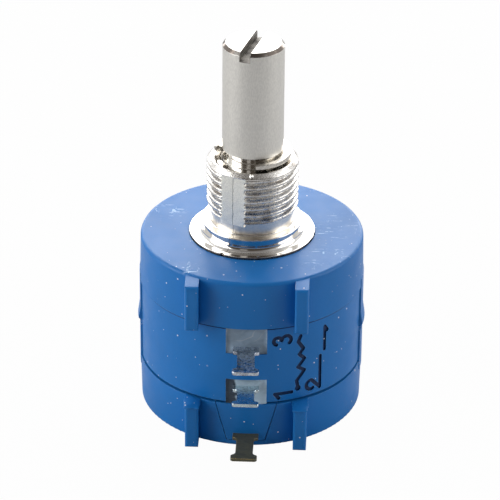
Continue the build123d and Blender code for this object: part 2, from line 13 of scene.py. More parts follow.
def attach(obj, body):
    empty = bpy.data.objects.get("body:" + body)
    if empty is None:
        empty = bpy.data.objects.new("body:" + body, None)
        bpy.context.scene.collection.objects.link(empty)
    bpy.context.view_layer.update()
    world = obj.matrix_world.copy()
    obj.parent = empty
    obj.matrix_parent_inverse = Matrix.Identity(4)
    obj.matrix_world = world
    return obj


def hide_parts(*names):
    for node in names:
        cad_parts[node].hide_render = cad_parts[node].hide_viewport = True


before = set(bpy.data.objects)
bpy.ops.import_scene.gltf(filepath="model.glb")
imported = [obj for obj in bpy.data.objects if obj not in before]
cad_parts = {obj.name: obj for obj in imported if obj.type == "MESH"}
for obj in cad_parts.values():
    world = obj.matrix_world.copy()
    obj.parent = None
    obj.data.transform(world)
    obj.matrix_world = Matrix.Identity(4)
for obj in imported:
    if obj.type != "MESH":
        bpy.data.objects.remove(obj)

LOG = logging.getLogger("potentiometer")
MM = 0.001
Socket = bpy.types.NodeSocket
Colour = tuple[float, float, float]


class Body(Enum):
    """The bodies that pieces ride on."""

    HOUSING = "housing"
    ROTOR = "rotor"
    CARRIAGE = "carriage"


class Wear(Enum):
    """What a moulded blue part carries on its surface."""

    PLAIN = "plain"
    SCUFFED = "scuffed"
    # MARKED: engraved marks, with painted shade on their floors and in the joints with the caps.
    MARKED = "marked"


class Plate(Enum):
    """The looks of the bushing's plating, numbered as its material slots."""

    POLISHED = 0
    THREAD = 1
    CAST = 2
    NECK = 3
    # The flange's rim: a darker copy of the nickel, painted as shade.
    RIM = 4


# --------------------------------------------------------------------------- node sheets


class Sheet:
    """A material's node sheet, with short calls for the nodes that the finishes share."""

    def __init__(self, name: str) -> None:
        """Starts an empty material with a Principled shader.

        Args:
            name: The material's name.
        """
        self.material = bpy.data.materials.new(name)
        self.material.use_nodes = True
        self.tree = self.material.node_tree
        self.tree.nodes.clear()
        self.shader = self.tree.nodes.new("ShaderNodeBsdfPrincipled")
        output = self.tree.nodes.new("ShaderNodeOutputMaterial")
        self.tree.links.new(self.shader.outputs["BSDF"], output.inputs["Surface"])

    def feed(self, socket: Socket, value: Socket | float | Colour) -> None:
        """Links a socket, or writes a plain value in it.

        Args:
            socket: The input to fill.
            value: Another node's output, a number, or three numbers.
        """
        if isinstance(value, bpy.types.NodeSocket):
            self.tree.links.new(value, socket)
        elif isinstance(value, (int, float)):
            socket.default_value = value
        elif socket.type == "RGBA":
            socket.default_value = (*value, 1.0)
        else:
            socket.default_value = value

    def set(self, **inputs: Socket | float | Colour) -> None:
        """Fills the shader's own inputs, with underscores for the spaces in their names."""
        for key, value in inputs.items():
            self.feed(self.shader.inputs[key.replace("_", " ")], value)

    def place(self) -> Socket:
        """The place on the object in millimetres."""
        coordinates = self.tree.nodes.new("ShaderNodeTexCoord")
        return self.scaled(coordinates.outputs["Object"], (1000, 1000, 1000))

    def scaled(self, vector: Socket, by: Colour) -> Socket:
        """A vector multiplied by three numbers."""
        node = self.tree.nodes.new("ShaderNodeVectorMath")
        node.operation = "MULTIPLY"
        self.feed(node.inputs[0], vector)
        node.inputs[1].default_value = by
        return node.outputs[0]

    def split(self, vector: Socket) -> tuple[Socket, Socket, Socket]:
        """A vector's three numbers."""
        node = self.tree.nodes.new("ShaderNodeSeparateXYZ")
        self.feed(node.inputs[0], vector)
        return node.outputs[0], node.outputs[1], node.outputs[2]

    def math(self, operation: str, *values: Socket | float) -> Socket:
        """One step of arithmetic.

        Args:
            operation: The Math node's operation.
            values: Its inputs in order.

        Returns:
            The result's socket.
        """
        node = self.tree.nodes.new("ShaderNodeMath")
        node.operation = operation
        for socket, value in zip(node.inputs, values):
            self.feed(socket, value)
        return node.outputs[0]

    def times(self, first: Socket | float, second: Socket | float) -> Socket:
        """Two values multiplied."""
        return self.math("MULTIPLY", first, second)

    def radius(self, across: Socket, along: Socket) -> Socket:
        """The distance from the upright axis."""
        squares = self.math("POWER", across, 2.0), self.math("POWER", along, 2.0)
        return self.math("SQRT", self.math("ADD", *squares))

    def beside(self, across: Socket, along: Socket, angle_deg: float) -> Socket:
        """The distance to the left of an upright plane through the axis, which runs at an angle."""
        angle = math.radians(angle_deg)
        return self.math("ADD", self.times(across, -math.sin(angle)), self.times(along, math.cos(angle)))

    def between(self, value: Socket, low: float, high: float, start: float = 0.0, end: float = 1.0) -> Socket:
        """A smooth step from start to end as a value goes from low to high."""
        node = self.tree.nodes.new("ShaderNodeMapRange")
        node.interpolation_type = "SMOOTHSTEP"
        self.feed(node.inputs[0], value)
        for index, number in zip((1, 2, 3, 4), (low, high, start, end)):
            node.inputs[index].default_value = number
        return node.outputs[0]

    def grain(self, vector: Socket, scale: float, detail: float = 3.0, twist: float = 0.0) -> Socket:
        """Noise about one half.

        Args:
            vector: Where it is read.
            scale: How many features to a unit of the vector.
            detail: How many finer layers it has.
            twist: How far it is distorted.

        Returns:
            The noise's socket.
        """
        node = self.tree.nodes.new("ShaderNodeTexNoise")
        self.feed(node.inputs["Vector"], vector)
        node.inputs["Scale"].default_value = scale
        node.inputs["Detail"].default_value = detail
        node.inputs["Distortion"].default_value = twist
        return node.outputs[0]

    def cells(self, vector: Socket, scale: float) -> tuple[Socket, Socket]:
        """Distance to the nearest of scattered points, and that point's own random number."""
        node = self.tree.nodes.new("ShaderNodeTexVoronoi")
        self.feed(node.inputs["Vector"], vector)
        node.inputs["Scale"].default_value = scale
        random, _, _ = self.split(node.outputs["Color"])
        return node.outputs["Distance"], random

    def blend(self, share: Socket | float, first: Socket | Colour, second: Socket | Colour) -> Socket:
        """A colour between two others."""
        node = self.tree.nodes.new("ShaderNodeMix")
        node.data_type = "RGBA"
        self.feed(node.inputs[0], share)
        self.feed(node.inputs[6], first)
        self.feed(node.inputs[7], second)
        return node.outputs[2]

    def soft_edges(self, radius_mm: float) -> tuple[Socket, Socket]:
        """Normals that run round edges, and how much an edge turns there."""
        bevel = self.tree.nodes.new("ShaderNodeBevel")
        bevel.samples = 6
        bevel.inputs["Radius"].default_value = radius_mm * MM
        geometry = self.tree.nodes.new("ShaderNodeNewGeometry")
        dot = self.tree.nodes.new("ShaderNodeVectorMath")
        dot.operation = "DOT_PRODUCT"
        self.feed(dot.inputs[0], bevel.outputs[0])
        self.feed(dot.inputs[1], geometry.outputs["Normal"])
        return bevel.outputs[0], self.math("SUBTRACT", 1.0, dot.outputs["Value"])

    def bump(self, height: Socket, depth_mm: float, under: Socket | None = None) -> Socket:
        """Normals of a small relief.

        Args:
            height: The relief, from zero to one.
            depth_mm: How deep it is.
            under: The normals that it lies on.

        Returns:
            The normals' socket.
        """
        node = self.tree.nodes.new("ShaderNodeBump")
        node.inputs["Distance"].default_value = depth_mm * MM
        self.feed(node.inputs["Height"], height)
        if under is not None:
            self.feed(node.inputs["Normal"], under)
        return node.outputs[0]

    def near(self, vector: Socket, spot: Colour, radius: float) -> Socket:
        """One at a spot, fading to nothing at a radius from it."""
        node = self.tree.nodes.new("ShaderNodeVectorMath")
        node.operation = "DISTANCE"
        self.feed(node.inputs[0], vector)
        node.inputs[1].default_value = spot
        return self.between(node.outputs["Value"], radius * 0.3, radius, 1.0, 0.0)


# --------------------------------------------------------------------------- finishes


@dataclass(frozen=True)
class BluePlastic:
    """Moulded blue nylon with a fine matte skin, a painted pale highlight on its edges, painted shade in its
    engraved strokes and joints where marked, and specks of dust.
    """

    name: str
    wear: Wear = Wear.PLAIN
    colour: Colour = (0.01, 0.165, 0.5)
    pale: Colour = (0.16, 0.4, 0.74)
    recess_shade: Colour = (0.003, 0.012, 0.055)
    dust: Colour = (0.82, 0.85, 0.88)
    scratch: Colour = (0.5, 0.7, 0.95)
    housing_mm: float = 11.0
    mark_depth_mm: float = 0.15
    face_mm: float = 18.2
    top_mm: float = 13.12

    def build(self) -> bpy.types.Material:
        """The finish as a material."""
        sheet = Sheet(self.name)
        place = sheet.place()
        across, along, height = sheet.split(place)
        broad = sheet.grain(place, 0.16, 3)
        fine = sheet.grain(place, 7.0, 4)
        slow, quick = sheet.between(broad, 0.3, 0.7, -0.1, 0.1), sheet.between(fine, 0.3, 0.7, -0.05, 0.05)
        tone = sheet.math("ADD", slow, quick)
        deep = tuple(part * 0.8 for part in self.colour)
        light = tuple(part * 1.2 for part in self.colour)
        colour = sheet.blend(sheet.math("ADD", tone, 0.5), deep, light)
        normal, turn = sheet.soft_edges(0.1)
        # Painted highlight: the edges are mixed towards pale blue, in patches, where light would catch their
        # rounding.
        patches = sheet.between(sheet.grain(place, 2.2, 4), 0.38, 0.62)
        edge_highlight = sheet.times(sheet.between(turn, 0.03, 0.22), patches)
        colour = sheet.blend(sheet.times(edge_highlight, 0.55), colour, self.pale)
        roughness = sheet.between(sheet.grain(place, 0.5, 4), 0.3, 0.7, 0.3, 0.4)
        # Painted shade: the engraved strokes' floors and the joints with the caps are mixed towards near
        # black.
        if self.wear is Wear.MARKED:
            colour = self.paint_recess_shade(sheet, colour, across, along, height)
        if self.wear is Wear.SCUFFED:
            colour, roughness = self.scuffed(sheet, place, height, colour, roughness)
        colour = self.dusted(sheet, place, colour)
        relief = sheet.math("ADD", fine, sheet.times(sheet.grain(place, 1.3, 3), 0.5))
        sheet.set(Base_Color=colour, Roughness=roughness, IOR=1.5, Specular_IOR_Level=0.3)
        sheet.set(Normal=sheet.bump(relief, 0.006, normal))
        return sheet.material

    def paint_recess_shade(self, sheet: Sheet, colour: Socket, across: Socket, along: Socket, height: Socket) -> Socket:
        """Painted shade: dark floors in the engraved strokes and in the joints with the two caps.

        Args:
            sheet: The material's sheet.
            colour: The plastic's colour.
            across: The place along X.
            along: The place along Y.
            height: The place along Z.

        Returns:
            The colour with the strokes' and joints' floors painted dark as shade.
        """
        radius = sheet.radius(across, along)
        floor = self.housing_mm - self.mark_depth_mm
        shallow = sheet.between(radius, floor + 0.07, floor + 0.11, 1.0, 0.0)
        deep = sheet.between(radius, floor - 0.1, floor - 0.05, 0.0, 1.0)
        strokes = sheet.times(shallow, sheet.times(deep, 0.9))
        top = sheet.between(height, self.top_mm - 0.06, self.top_mm - 0.03)
        spigot = sheet.between(radius, floor - 0.4, floor - 0.3, 1.0, 0.0)
        joints = sheet.times(sheet.math("MAXIMUM", top, spigot), 0.85)
        return sheet.blend(sheet.math("MAXIMUM", strokes, joints), colour, self.recess_shade)

    def scuffed(
        self, sheet: Sheet, place: Socket, height: Socket, colour: Socket, roughness: Socket
    ) -> tuple[Socket, Socket]:
        """Pale short scratches in a few places of the front face.

        Args:
            sheet: The material's sheet.
            place: The place in millimetres.
            height: The place along Z.
            colour: The plastic's colour.
            roughness: The plastic's roughness.

        Returns:
            The colour and roughness with the scratches in them.
        """
        face = sheet.between(height, self.face_mm - 0.5, self.face_mm - 0.3)
        spots = ((7.8, 1.2, 3.8), (7.4, -5.4, 3.4), (-5.7, -8.4, 2.0), (-8.6, 3.4, 2.4))
        where = 0.0
        for x, y, radius in spots:
            spot = sheet.near(place, (x, y, self.face_mm), radius)
            where = sheet.math("MAXIMUM", where, spot)
        where = sheet.times(where, face)
        lines = 0.0
        for stretch in ((0.4, 3.0, 1.0), (2.6, 0.45, 1.0)):
            field = sheet.grain(sheet.scaled(place, stretch), 1.0, 1.0, 0.5)
            lines = sheet.math("MAXIMUM", lines, sheet.between(field, 0.64, 0.69))
        broken = sheet.between(sheet.grain(place, 2.6, 4), 0.45, 0.6)
        cut = sheet.times(sheet.times(lines, broken), where)
        haze = sheet.times(sheet.between(sheet.grain(place, 2.0, 6, 0.5), 0.52, 0.72), where)
        share = sheet.math("ADD", sheet.times(cut, 0.9), sheet.times(haze, 0.12))
        colour = sheet.blend(share, colour, self.scratch)
        return colour, sheet.math("ADD", roughness, sheet.times(share, 0.25))

    def dusted(self, sheet: Sheet, place: Socket, colour: Socket) -> Socket:
        """Small white specks, thickly in some places and hardly at all in others."""
        patch = sheet.between(sheet.grain(place, 0.22, 2), 0.4, 0.52)
        specks = 0.0
        for scale, size in ((0.55, 0.07), (0.9, 0.085), (1.6, 0.1)):
            distance, random = sheet.cells(place, scale)
            chosen = sheet.times(sheet.math("GREATER_THAN", random, 0.6), patch)
            speck = sheet.between(distance, size * 0.65, size, 1.0, 0.0)
            specks = sheet.math("MAXIMUM", specks, sheet.times(speck, chosen))
        return sheet.blend(specks, colour, self.dust)


@dataclass(frozen=True)
class Metal:
    """A bare or plated metal with grain and small relief."""

    name: str
    colour: Colour
    roughness: tuple[float, float] = (0.2, 0.3)
    grain_mm: Colour = (0.15, 0.15, 0.15)
    relief_mm: float = 0.004
    tint: float = 0.12
    stain: Colour = (0.25, 0.22, 0.19)
    stained: float = 0.0
    edge_mm: float = 0.0
    edge_colour: Colour | None = None
    metallic: float = 1.0

    def build(self) -> bpy.types.Material:
        """The finish as a material."""
        sheet = Sheet(self.name)
        place = sheet.place()
        self.dress(sheet, place)
        return sheet.material

    def dress(self, sheet: Sheet, place: Socket) -> tuple[Socket, Socket, Socket]:
        """Fills a sheet with the metal.

        Args:
            sheet: The sheet to fill.
            place: The place in millimetres.

        Returns:
            The colour, roughness and normals, for a finish that adds to them.
        """
        stretched = sheet.scaled(place, tuple(1 / size for size in self.grain_mm))
        grain = sheet.grain(stretched, 1.0, 4)
        broad = sheet.grain(place, 0.7, 3)
        dark = tuple(part * (1 - self.tint) for part in self.colour)
        bright = tuple(min(part * (1 + self.tint), 1.0) for part in self.colour)
        colour = sheet.blend(sheet.between(grain, 0.3, 0.7), dark, bright)
        if self.stained:
            share = sheet.times(sheet.between(broad, 0.5, 0.68), self.stained)
            colour = sheet.blend(share, colour, self.stain)
        roughness = sheet.between(grain, 0.3, 0.7, *self.roughness)
        under = None
        if self.edge_mm:
            under, turn = sheet.soft_edges(self.edge_mm)
            if self.edge_colour is not None:
                colour = sheet.blend(sheet.between(turn, 0.02, 0.2), colour, self.edge_colour)
        normal = sheet.bump(grain, self.relief_mm, under)
        sheet.set(Base_Color=colour, Roughness=roughness, Metallic=self.metallic, Normal=normal)
        return colour, roughness, normal


@dataclass(frozen=True)
class ShaftMetal(Metal):
    """Satin shaft, with a polished clip groove, a slot with milling streaks and painted shade, and a dark
    brown reflection painted on the chamfer at its end.
    """

    groove_mm: tuple[float, float] = (26.45, 27.48)
    end_mm: float = 38.65
    face_mm: float = 2.72
    slot_deg: float = 75.6
    slot_half_mm: float = 0.525
    slot_depth_mm: float = 0.91
    chamfer_mm: float = 0.31
    painted_chamfer_reflection: Colour = (0.17, 0.14, 0.12)

    def build(self) -> bpy.types.Material:
        """The finish as a material."""
        sheet = Sheet(self.name)
        place = sheet.place()
        colour, roughness, _ = self.dress(sheet, place)
        across, along, height = sheet.split(place)
        low, high = self.groove_mm
        below = sheet.between(height, high, high + 0.02, 1.0, 0.0)
        inside = sheet.times(sheet.between(height, low - 0.02, low), below)
        chamfer_low = self.end_mm - self.chamfer_mm
        end = sheet.between(height, chamfer_low - 0.03, chamfer_low)
        polished = sheet.math("MAXIMUM", inside, end)
        keep = sheet.math("SUBTRACT", 1.0, sheet.times(polished, 0.7))
        side = sheet.math("ABSOLUTE", sheet.beside(across, along, self.slot_deg))
        slot = sheet.between(side, self.slot_half_mm + 0.01, self.slot_half_mm + 0.04, 1.0, 0.0)
        slot_low = self.end_mm - self.slot_depth_mm
        slot = sheet.times(slot, sheet.between(height, slot_low - 0.04, slot_low))
        # Slot colour: streaks like milling marks, and painted shade that keeps the slot's walls and floor far
        # darker than the satin metal.
        streaks = sheet.grain(sheet.scaled(place, (0.8, 0.8, 9.0)), 1.0, 4)
        slot_streaks_and_shade = sheet.blend(sheet.between(streaks, 0.35, 0.65), (0.16, 0.15, 0.14), (0.42, 0.4, 0.37))
        rough = sheet.math("ADD", sheet.times(roughness, keep), sheet.times(slot, 0.3))
        # Painted reflection: the end chamfer is mixed towards dark brown, standing for the dim room it
        # mirrors.
        rim = sheet.times(end, sheet.between(sheet.radius(across, along), self.face_mm - 0.03, self.face_mm))
        painted_chamfer_reflection = sheet.times(rim, sheet.between(sheet.grain(place, 0.45, 2), 0.4, 0.55, 0.35, 0.95))
        colour = sheet.blend(painted_chamfer_reflection, colour, self.painted_chamfer_reflection)
        sheet.set(Base_Color=sheet.blend(slot, colour, slot_streaks_and_shade), Roughness=rough)
        return sheet.material


@dataclass(frozen=True)
class CastNickel(Metal):
    """Nickel plate over a die casting, with the thin dark line where the mould's halves met."""

    line_deg: float = -114.0
    line_mm: float = 0.035

    def build(self) -> bpy.types.Material:
        """The finish as a material."""
        sheet = Sheet(self.name)
        place = sheet.place()
        colour, _, _ = self.dress(sheet, place)
        across, along, _ = sheet.split(place)
        side = sheet.beside(across, along, self.line_deg)
        wander = sheet.between(sheet.grain(place, 1.5, 2), 0.3, 0.7, -0.03, 0.03)
        distance = sheet.math("ABSOLUTE", sheet.math("ADD", side, wander))
        line = sheet.between(distance, self.line_mm * 0.5, self.line_mm * 1.5, 1.0, 0.0)
        sheet.set(Base_Color=sheet.blend(sheet.times(line, 0.7), colour, (0.12, 0.11, 0.1)))
        return sheet.material


@dataclass(frozen=True)
class PottingResin:
    """Cloudy grey resin, poured in and set with swirls, and a pale streak painted on as a highlight."""

    name: str
    colour: Colour = (0.2, 0.27, 0.35)
    pale: Colour = (0.5, 0.54, 0.58)
    dark: Colour = (0.008, 0.016, 0.035)
    dark_side_mm: float | None = None

    def build(self) -> bpy.types.Material:
        """The finish as a material."""
        sheet = Sheet(self.name)
        place = sheet.place()
        swirl = sheet.grain(sheet.scaled(place, (1.0, 1.0, 1.6)), 0.45, 2, 0.6)
        light = tuple(part * 1.35 for part in self.colour)
        colour = sheet.blend(sheet.between(swirl, 0.35, 0.65), self.colour, light)
        # Painted highlight: a thin pale streak along a noise contour, where the resin's curved face would
        # catch light.
        streak = sheet.math("ABSOLUTE", sheet.math("SUBTRACT", sheet.grain(place, 0.3, 1, 0.6), 0.5))
        streak = sheet.times(sheet.between(streak, 0.0, 0.015, 1.0, 0.0), sheet.between(swirl, 0.45, 0.6))
        colour = sheet.blend(sheet.times(streak, 0.7), colour, self.pale)
        if self.dark_side_mm is not None:
            across, _, _ = sheet.split(place)
            edge = sheet.math("ADD", across, sheet.between(swirl, 0.3, 0.7, -0.3, 0.3))
            share = sheet.between(edge, self.dark_side_mm, self.dark_side_mm + 0.35, 0.9, 0.0)
            colour = sheet.blend(share, colour, self.dark)
        relief = sheet.grain(place, 1.1, 2)
        sheet.set(Base_Color=colour, Roughness=sheet.between(swirl, 0.3, 0.7, 0.2, 0.36))
        sheet.set(IOR=1.45, Specular_IOR_Level=0.35, Coat_Weight=0.12, Coat_Roughness=0.15)
        sheet.set(Normal=sheet.bump(relief, 0.03))
        return sheet.material


@dataclass(frozen=True)
class PlainPlastic:
    """Unseen moulded parts: even colour with a little grain and flow."""

    name: str
    colour: Colour
    roughness: float = 0.45

    def build(self) -> bpy.types.Material:
        """The finish as a material."""
        sheet = Sheet(self.name)
        place = sheet.place()
        flow = sheet.grain(sheet.scaled(place, (1.0, 1.0, 0.3)), 0.8, 4, 0.6)
        light = tuple(min(part * 1.3, 1.0) for part in self.colour)
        normal, _ = sheet.soft_edges(0.08)
        low, high = self.roughness - 0.06, self.roughness + 0.06
        sheet.set(Base_Color=sheet.blend(sheet.between(flow, 0.3, 0.7), self.colour, light), IOR=1.5)
        sheet.set(Roughness=sheet.between(flow, 0.3, 0.7, low, high))
        sheet.set(Normal=sheet.bump(sheet.grain(place, 5.0, 4), 0.006, normal))
        return sheet.material


@dataclass(frozen=True)
class WoundWire:
    """Fine resistance wire wound side by side round a cord, with painted shade in the grooves between the
    turns.
    """

    name: str = "wound_wire"
    colour: Colour = (0.5, 0.42, 0.32)
    wire_mm: float = 0.09
    coil_mm: float = 8.8

    def build(self) -> bpy.types.Material:
        """The finish as a material."""
        sheet = Sheet(self.name)
        place = sheet.place()
        across, along, _ = sheet.split(place)
        angle = sheet.math("ARCTAN2", along, across)
        turns = sheet.math("SINE", sheet.times(angle, self.coil_mm * 2 * math.pi / self.wire_mm))
        ridge = sheet.between(turns, -1.0, 1.0)
        # Painted shade: the colour darkens in the grooves between the turns.
        dark = tuple(part * 0.45 for part in self.colour)
        sheet.set(Base_Color=sheet.blend(ridge, dark, self.colour), Metallic=1.0)
        sheet.set(Roughness=sheet.between(sheet.grain(place, 3.0), 0.3, 0.7, 0.25, 0.4))
        sheet.set(Normal=sheet.bump(ridge, 0.02))
        return sheet.material


# --------------------------------------------------------------------------- mesh building


def smooth(value: np.ndarray | float) -> np.ndarray | float:
    """A smooth step of values from zero to one."""
    value = np.clip(value, 0.0, 1.0)
    return value * value * (3 - 2 * value)


def cloud(points: np.ndarray, scale: float, seed: float = 0.0) -> np.ndarray:
    """Smooth noise between about -1 and 1 at many points.

    Args:
        points: Places in millimetres, one a row.
        scale: Features to a millimetre.
        seed: Shifts the noise.

    Returns:
        One value for each point.
    """
    shift = Vector((seed, seed * 1.7, seed * 0.3))
    return np.array([noise.noise(Vector(point) * scale + shift) for point in points.tolist()])


def arc(centre: tuple[float, float], radius: float, start_deg: float, end_deg: float, count: int) -> list:
    """Points of an arc in a section, its last point left out.

    Args:
        centre: The middle of the arc.
        radius: Its radius.
        start_deg: Where it starts.
        end_deg: Where it would end.
        count: How many points it has.

    Returns:
        Pairs of numbers.
    """
    angles = np.radians(start_deg + (end_deg - start_deg) * np.arange(count) / count)
    return [(centre[0] + radius * math.cos(a), centre[1] + radius * math.sin(a)) for a in angles]


def run(start: tuple[float, float], end: tuple[float, float], count: int) -> list:
    """Points of a straight run in a section, its end left out."""
    shares = np.arange(count) / count
    return [(start[0] + (end[0] - start[0]) * s, start[1] + (end[1] - start[1]) * s) for s in shares]


def ring_faces(rows: int, columns: int, closed_rows: bool, closed_columns: bool, start: int = 0) -> list:
    """Quads of a grid of points, which may close on itself either way.

    Args:
        rows: Points down the grid.
        columns: Points across it.
        closed_rows: Whether the last row meets the first.
        closed_columns: Whether the last column meets the first.
        start: The first point's number.

    Returns:
        The faces as lists of point numbers.
    """
    faces = []
    for row in range(rows if closed_rows else rows - 1):
        below = (row + 1) % rows
        for column in range(columns if closed_columns else columns - 1):
            right = (column + 1) % columns
            here, there = start + row * columns, start + below * columns
            faces.append([here + column, here + right, there + right, there + column])
    return faces


def mesh_piece(name: str, points: np.ndarray, faces: list, sharp_deg: float = 40.0) -> bpy.types.Object:
    """A closed mesh with even normals, from points in millimetres.

    Args:
        name: The piece's name.
        points: Places in millimetres, one a row.
        faces: Lists of point numbers.
        sharp_deg: Edges that turn more than this stay sharp.

    Returns:
        The new object.
    """
    mesh = bpy.data.meshes.new(name)
    mesh.from_pydata((points * MM).tolist(), [], faces)
    mesh.validate()
    piece = bpy.data.objects.new(name, mesh)
    bpy.context.scene.collection.objects.link(piece)
    bpy.context.view_layer.objects.active = piece
    piece.select_set(True)
    bpy.ops.object.mode_set(mode="EDIT")
    bpy.ops.mesh.select_all(action="SELECT")
    bpy.ops.mesh.normals_make_consistent(inside=False)
    bpy.ops.object.mode_set(mode="OBJECT")
    piece.select_set(False)
    mesh.polygons.foreach_set("use_smooth", [True] * len(mesh.polygons))
    mesh.set_sharp_from_angle(angle=math.radians(sharp_deg))
    return piece


def dress_node(node: str, material: bpy.types.Material) -> None:
    """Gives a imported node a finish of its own."""
    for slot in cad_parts[node].material_slots:
        slot.material = material
    LOG.info("dressed %s in %s", node, material.name)


# --------------------------------------------------------------------------- sub-assemblies


@dataclass
class Shells:
    """The three blue shells, the terminal block and the flash on the rear cap's ribs."""

    rib_offset: float = 5.3
    rib_width: float = 1.3
    rib_face: float = 11.75
    cap_radius: float = 11.1
    rear_cap_height: float = 4.67
    flash_thickness: float = 0.1
    flash_reach: float = 0.17

    def build(self) -> None:
        """Dresses the shells and adds the flash."""
        plain = BluePlastic("blue_plastic_plain").build()
        dress_node("front_cap", BluePlastic("blue_plastic_scuffed", Wear.SCUFFED).build())
        dress_node("housing", BluePlastic("blue_plastic_marked", Wear.MARKED).build())
        dress_node("rear_cap", plain)
        dress_node("terminal_block", plain)
        for side, name in ((-1, "rib_flash_left"), (1, "rib_flash_right")):
            piece = self.flash(name, side)
            piece.data.materials.append(plain)
            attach(piece, Body.HOUSING.value)
            LOG.info("built %s", name)

    def flash(self, name: str, side: int) -> bpy.types.Object:
        """A thin ragged skin of plastic squeezed out round the top of one rib.

        Args:
            name: The piece's name.
            side: -1 for the left rib and 1 for the right one.

        Returns:
            The new object.
        """
        half = self.rib_width / 2
        middle = side * self.rib_offset
        inner = [math.sqrt(self.cap_radius**2 - (middle + x) ** 2) - 0.08 for x in (-half, half)]
        root_left, root_right = (-half, -inner[0]), (half, -inner[1])
        tip_left, tip_right = (-half, -self.rib_face), (half, -self.rib_face)
        outline = run(root_left, tip_left, 14) + run(tip_left, tip_right, 12)
        outline += run(tip_right, root_right, 14) + run(root_right, root_left, 6)
        plan = np.array(outline)
        middle_y = -(self.rib_face + min(inner)) / 2
        away = plan - np.array([0.0, middle_y])
        away /= np.linalg.norm(away, axis=1)[:, None]
        rough = cloud(np.column_stack([plan * 1.0, np.full(len(plan), side * 4.0)]), 3.0, 7.0 + side)
        reach = self.flash_reach * (1 + 0.6 * rough)
        reach[-6:] = 0.0
        wide = plan + away * reach[:, None]
        top, low = self.rear_cap_height + 0.02, self.rear_cap_height - self.flash_thickness
        loops = [np.column_stack([plan * 1.0, np.full(len(plan), low - 0.05)])]
        loops += [np.column_stack([wide, np.full(len(plan), z) + 0.03 * rough]) for z in (low, top - 0.03)]
        loops += [np.column_stack([plan + away * (reach * 0.7)[:, None], np.full(len(plan), top)])]
        points = np.vstack(loops)
        points[:, 0] += middle
        count = len(plan)
        faces = ring_faces(len(loops), count, False, True)
        faces += [list(range(count)), list(range(3 * count, 4 * count))]
        return mesh_piece(name, points, faces, 50)


